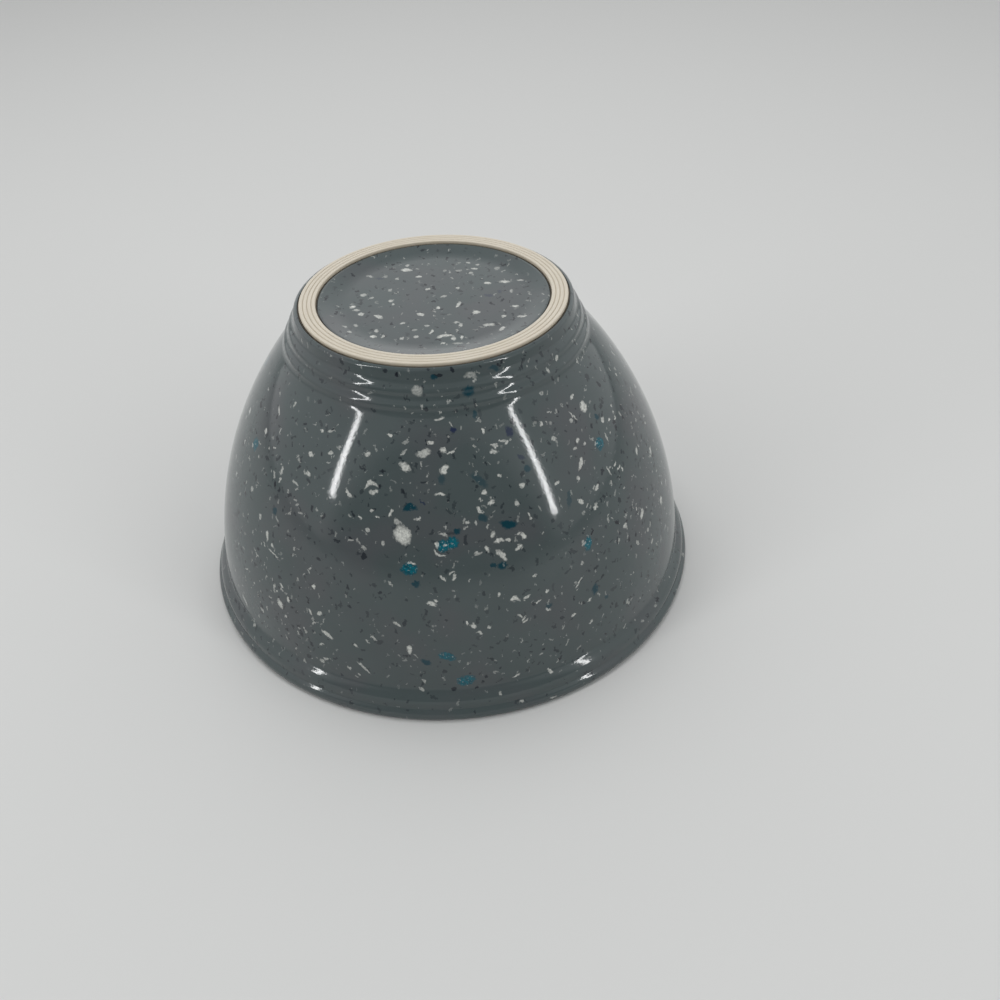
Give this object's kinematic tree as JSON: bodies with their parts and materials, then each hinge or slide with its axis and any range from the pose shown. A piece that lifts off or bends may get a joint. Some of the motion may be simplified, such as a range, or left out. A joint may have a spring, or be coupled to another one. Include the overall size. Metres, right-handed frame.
{
  "type": "garbage bowl",
  "caption": "Deep round bowl with a curved wall, rolled rim and stepped foot with a ribbed non-slip ring, for gathering kitchen scraps on a worktop; shown mouth down.",
  "frame": {"origin": "centre of the mouth, on the surface that the rim stands on", "axes": "+Z along the bowl's axis, from the mouth to the foot; X and Y are across the mouth and interchangeable"},
  "size_m": [0.254, 0.254, 0.1495],
  "materials": {
    "bowl": "glossy grey moulded melamine with white, teal and dark flakes",
    "non_slip_ring": "satin cream rubber, ribbed",
    "ring_adhesive": "dried brown adhesive"
  },
  "bodies": {
    "root": {"bowl": "bowl", "non_slip_ring": "non_slip_ring", "ring_adhesive": "ring_adhesive"}
  },
  "joints": []
}
